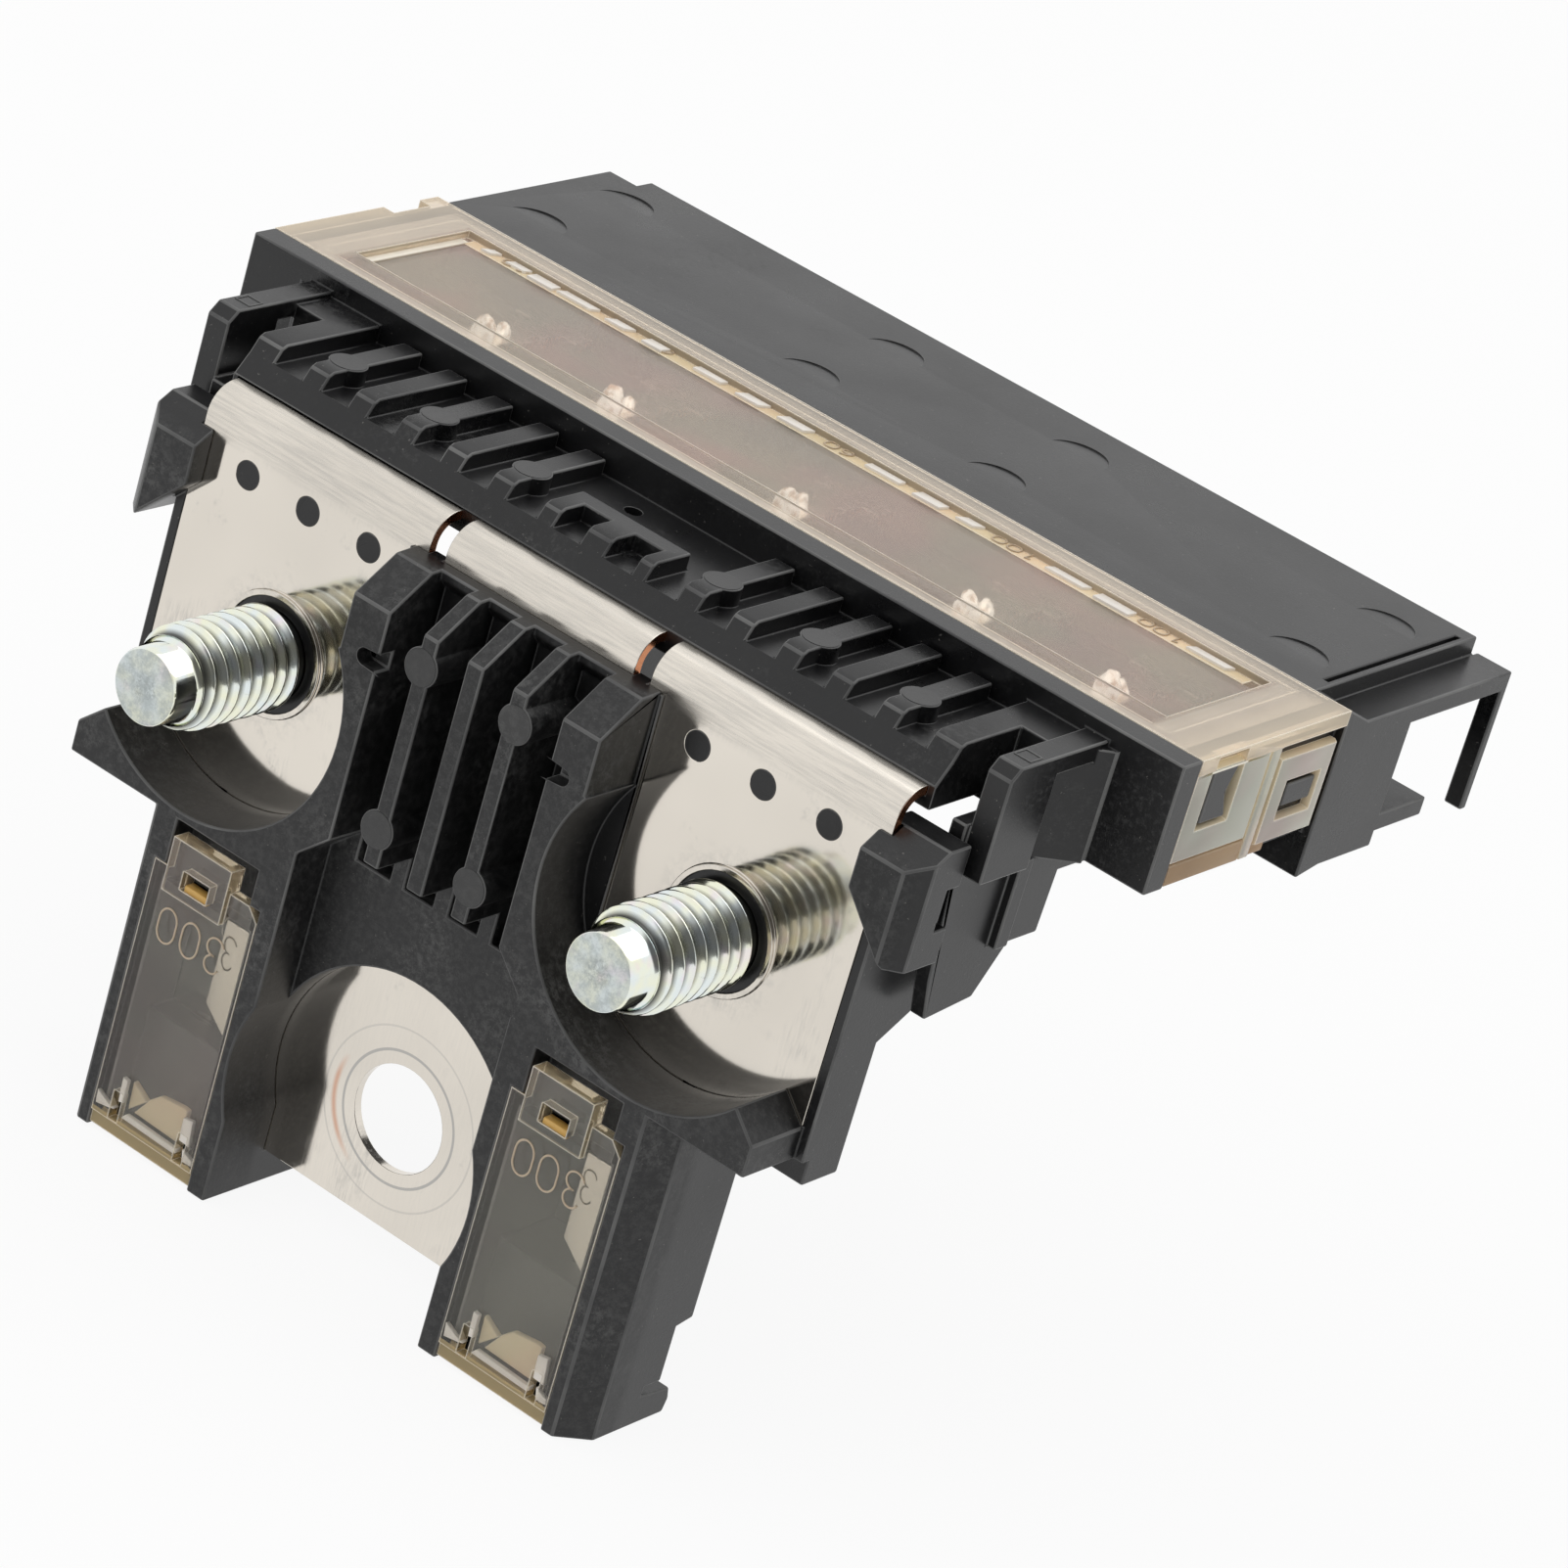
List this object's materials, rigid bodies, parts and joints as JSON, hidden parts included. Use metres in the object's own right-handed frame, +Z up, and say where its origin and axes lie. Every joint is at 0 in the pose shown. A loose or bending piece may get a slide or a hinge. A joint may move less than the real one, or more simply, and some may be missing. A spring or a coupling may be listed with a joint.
{
  "type": "battery terminal fuse",
  "caption": "Battery terminal fuse: eyelet busbar with threaded studs and large links in a ribbed black housing, clear covers, and a rear box with small links and plug sockets.",
  "frame": {"origin": "centre of the eyelet hole on the front face of the busbar", "axes": "+X along the length of the box, to the right when looking at the studs; +Y away from the studs, towards the sockets; +Z up from the eyelet to the lid"},
  "size_m": [0.0878, 0.0726, 0.06],
  "materials": {
    "tinned_copper": "bright tin plate, brushed and slightly scratched",
    "black_nylon": "glass-filled, satin to matt with paler worn edges",
    "zinc_steel": "bright zinc plate with a faint yellow-green passivation tint",
    "clear_cover": "clear, amber-tinted at the edges",
    "tin_pellet": "soft bright tin"
  },
  "bodies": {
    "root": {"busbar": "tinned_copper", "front_housing": "black_nylon", "upper_housing": "black_nylon", "top_cover": "clear_cover", "cover_left": "clear_cover", "cover_right": "clear_cover", "stud_left": "zinc_steel", "stud_right": "zinc_steel", "tin_pellet_far_left": "tin_pellet", "tin_pellet_left": "tin_pellet", "tin_pellet_middle": "tin_pellet", "tin_pellet_right": "tin_pellet", "tin_pellet_far_right": "tin_pellet"}
  },
  "joints": []
}
